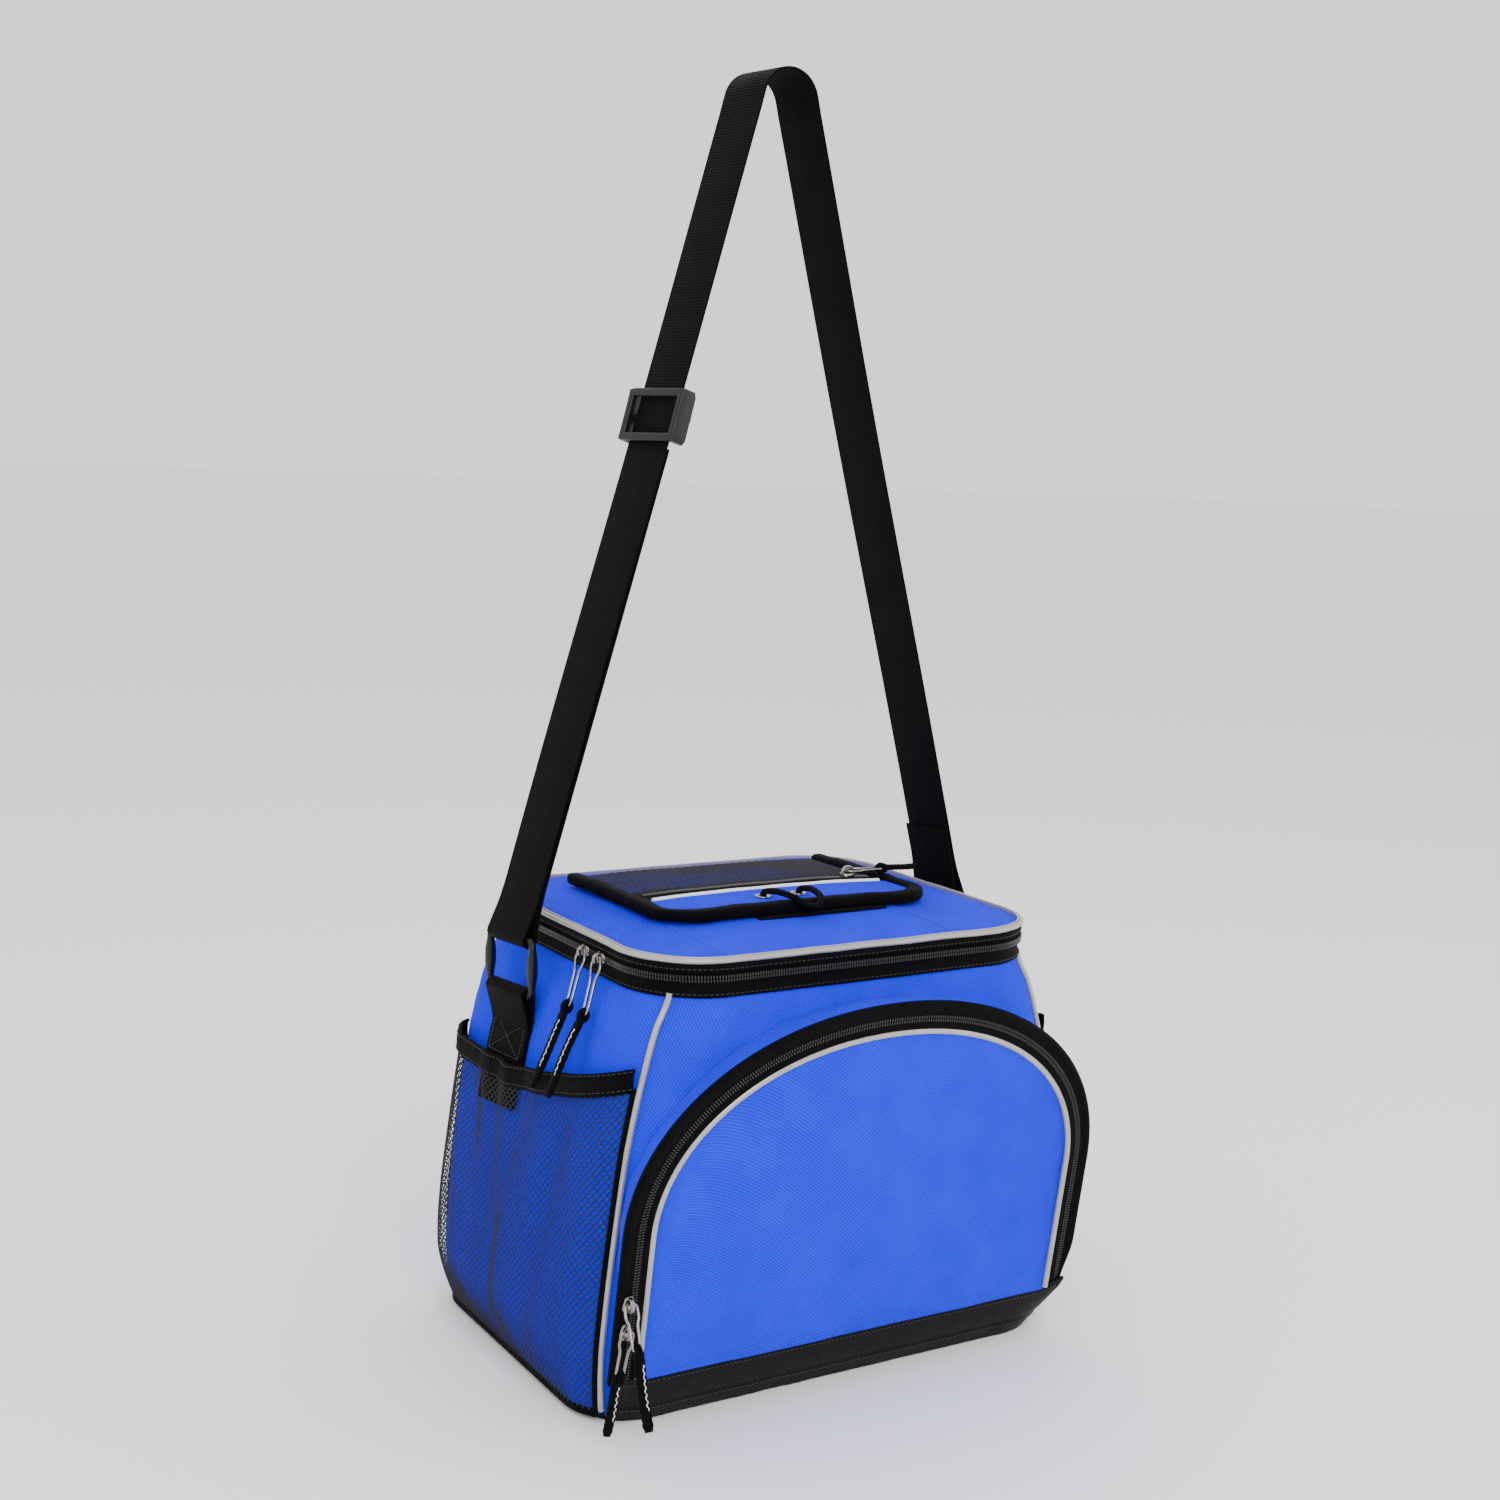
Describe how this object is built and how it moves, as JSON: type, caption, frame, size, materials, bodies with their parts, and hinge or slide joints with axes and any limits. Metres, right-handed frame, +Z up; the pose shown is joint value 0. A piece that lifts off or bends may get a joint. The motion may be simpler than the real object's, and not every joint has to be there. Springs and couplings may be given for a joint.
{
  "type": "insulated cooler bag",
  "caption": "Soft insulated cooler bag with a zipped lid, a quick-access flap, a zipped front pocket, mesh side pockets and a shoulder strap.",
  "frame": {"origin": "middle of the base's underside, on the surface it stands on", "axes": "+Z up, -Y towards the front pocket, +X towards the right side seen from the front"},
  "size_m": [0.3678, 0.2901, 0.7859],
  "materials": {
    "blue_fabric": "coarse plain-weave polyester, royal blue",
    "coated_twill": "black twill with a satin coating",
    "stiffener_board": "matte",
    "foam": "closed-cell foam, matte",
    "liner_film": "wipe-clean film, satin",
    "zipper_tape": "woven tape with nylon coil teeth",
    "silver_piping": "reflective coated piping, satin",
    "black_mesh": "open knitted net",
    "black_binding": "ribbed woven tape",
    "black_webbing": "ribbed polyester webbing",
    "black_plastic": "moulded, satin",
    "nickel": "nickel plate",
    "black_cord": "braided cord"
  },
  "bodies": {
    "bag": {"base_panel": "coated_twill", "base_stiffener": "stiffener_board", "foam_base": "foam", "front_wall": "blue_fabric", "right_wall": "blue_fabric", "back_wall": "blue_fabric", "left_wall": "blue_fabric", "foam_front": "foam", "foam_right": "foam", "foam_back": "foam", "foam_left": "foam", "liner_tub": "liner_film", "body_zip_tape": "zipper_tape", "piping_front_left": "silver_piping", "piping_front_right": "silver_piping", "piping_back_left": "silver_piping", "piping_back_right": "silver_piping", "left_mesh_pocket": "black_mesh", "left_pocket_elastic": "black_binding", "right_mesh_pocket": "black_mesh", "right_pocket_elastic": "black_binding", "pocket_gusset": "blue_fabric", "pocket_zip_tape": "zipper_tape", "front_trim": "coated_twill", "lid_hinge_strip": "black_binding", "strap_tab_left": "black_webbing", "strap_tab_right": "black_webbing"},
    "lid": {"lid_panel": "blue_fabric", "lid_foam": "foam", "lid_liner": "liner_film", "lid_zip_tape": "zipper_tape", "lid_piping": "silver_piping", "lid_loop_strip": "black_binding"},
    "flap": {"flap_panel": "blue_fabric", "flap_mesh": "black_mesh", "flap_front_strip": "blue_fabric", "flap_zip_tape": "zipper_tape", "flap_piping": "silver_piping", "flap_binding": "black_binding", "eyelet_left": "nickel", "eyelet_right": "nickel", "flap_pull_loop": "black_cord"},
    "pocket_front": {"pocket_panel": "blue_fabric", "pocket_piping": "silver_piping", "pocket_panel_tape": "zipper_tape"},
    "strap": {"strap_ring_left": "black_plastic", "strap_ring_right": "black_plastic", "strap_leg_left": "black_webbing", "strap_leg_right": "black_webbing"},
    "buckle": {"strap_buckle": "black_plastic"},
    "lid_left_slider": {"lid_left_slider": "nickel"},
    "lid_left_pull": {"lid_left_pull": "black_cord"},
    "lid_right_slider": {"lid_right_slider": "nickel"},
    "lid_right_pull": {"lid_right_pull": "black_cord"},
    "pocket_upper_slider": {"pocket_upper_slider": "nickel"},
    "pocket_upper_pull": {"pocket_upper_pull": "black_cord"},
    "pocket_lower_slider": {"pocket_lower_slider": "nickel"},
    "pocket_lower_pull": {"pocket_lower_pull": "black_cord"},
    "flap_slider": {"flap_slider": "nickel"},
    "flap_pull": {"flap_pull": "black_cord"}
  },
  "joints": [
    {"name": "lid_hinge", "type": "hinge", "parent": "bag", "child": "lid", "pos_m": [0, 0.1212, 0.26035], "axis": [-1, 0, 0], "range_deg": [0, 105], "deforming": ["lid_hinge_strip"]},
    {"name": "flap_hinge", "type": "hinge", "parent": "lid", "child": "flap", "pos_m": [0, 0.079, 0.2786], "axis": [-1, 0, 0], "range_deg": [0, 110]},
    {"name": "pocket_hinge", "type": "hinge", "parent": "bag", "child": "pocket_front", "pos_m": [0, -0.1245, 0.0355], "axis": [1, 0, 0], "range_deg": [0, 70]},
    {"name": "strap_swing", "type": "hinge", "parent": "bag", "child": "strap", "pos_m": [0, 0.024, 0.2245], "axis": [1, 0, 0], "range_deg": [-57, 57], "deforming": ["strap_leg_left", "strap_leg_right", "strap_tab_left", "strap_tab_right"]},
    {"name": "buckle_slide", "type": "slide", "parent": "strap", "child": "buckle", "axis": [0.2721, 0, 0.9623], "range_m": [-0.03, 0.15]},
    {"name": "lid_left_slider_slide", "type": "slide", "parent": "bag", "child": "lid_left_slider", "axis": [0, 1, 0], "range_m": [0, 0.1], "deforming": ["lid_left_pull"]},
    {"name": "lid_left_pull_swing", "type": "hinge", "parent": "lid_left_slider", "child": "lid_left_pull", "pos_m": [-0.143, -0.034, 0.2602], "axis": [0, 1, 0], "range_deg": [0, 150]},
    {"name": "lid_right_slider_slide", "type": "slide", "parent": "bag", "child": "lid_right_slider", "axis": [0, -1, 0], "range_m": [0, 0.018]},
    {"name": "lid_right_pull_swing", "type": "hinge", "parent": "lid_right_slider", "child": "lid_right_pull", "pos_m": [-0.143, -0.054, 0.2602], "axis": [0, 1, 0], "range_deg": [0, 150]},
    {"name": "pocket_upper_slider_slide", "type": "slide", "parent": "bag", "child": "pocket_upper_slider", "axis": [0, -0.1406, 0.9901], "range_m": [0, 0.033]},
    {"name": "pocket_upper_pull_swing", "type": "hinge", "parent": "pocket_upper_slider", "child": "pocket_upper_pull", "pos_m": [-0.1594, -0.1368, 0.08417], "axis": [-1, 0, 0], "range_deg": [0, 110]},
    {"name": "pocket_lower_slider_slide", "type": "slide", "parent": "bag", "child": "pocket_lower_slider", "axis": [0, 0.1406, -0.9901], "range_m": [0, 0.02]},
    {"name": "pocket_lower_pull_swing", "type": "hinge", "parent": "pocket_lower_slider", "child": "pocket_lower_pull", "pos_m": [-0.1594, -0.13439, 0.06717], "axis": [-1, 0, 0], "range_deg": [0, 25]},
    {"name": "flap_slider_slide", "type": "slide", "parent": "flap", "child": "flap_slider", "axis": [-1, 0, 0], "range_m": [0, 0.14]},
    {"name": "flap_pull_swing", "type": "hinge", "parent": "flap_slider", "child": "flap_pull", "pos_m": [0.068, 0.0016, 0.2863], "axis": [-0.1191, -0.9929, 0], "range_deg": [0, 150]}
  ]
}
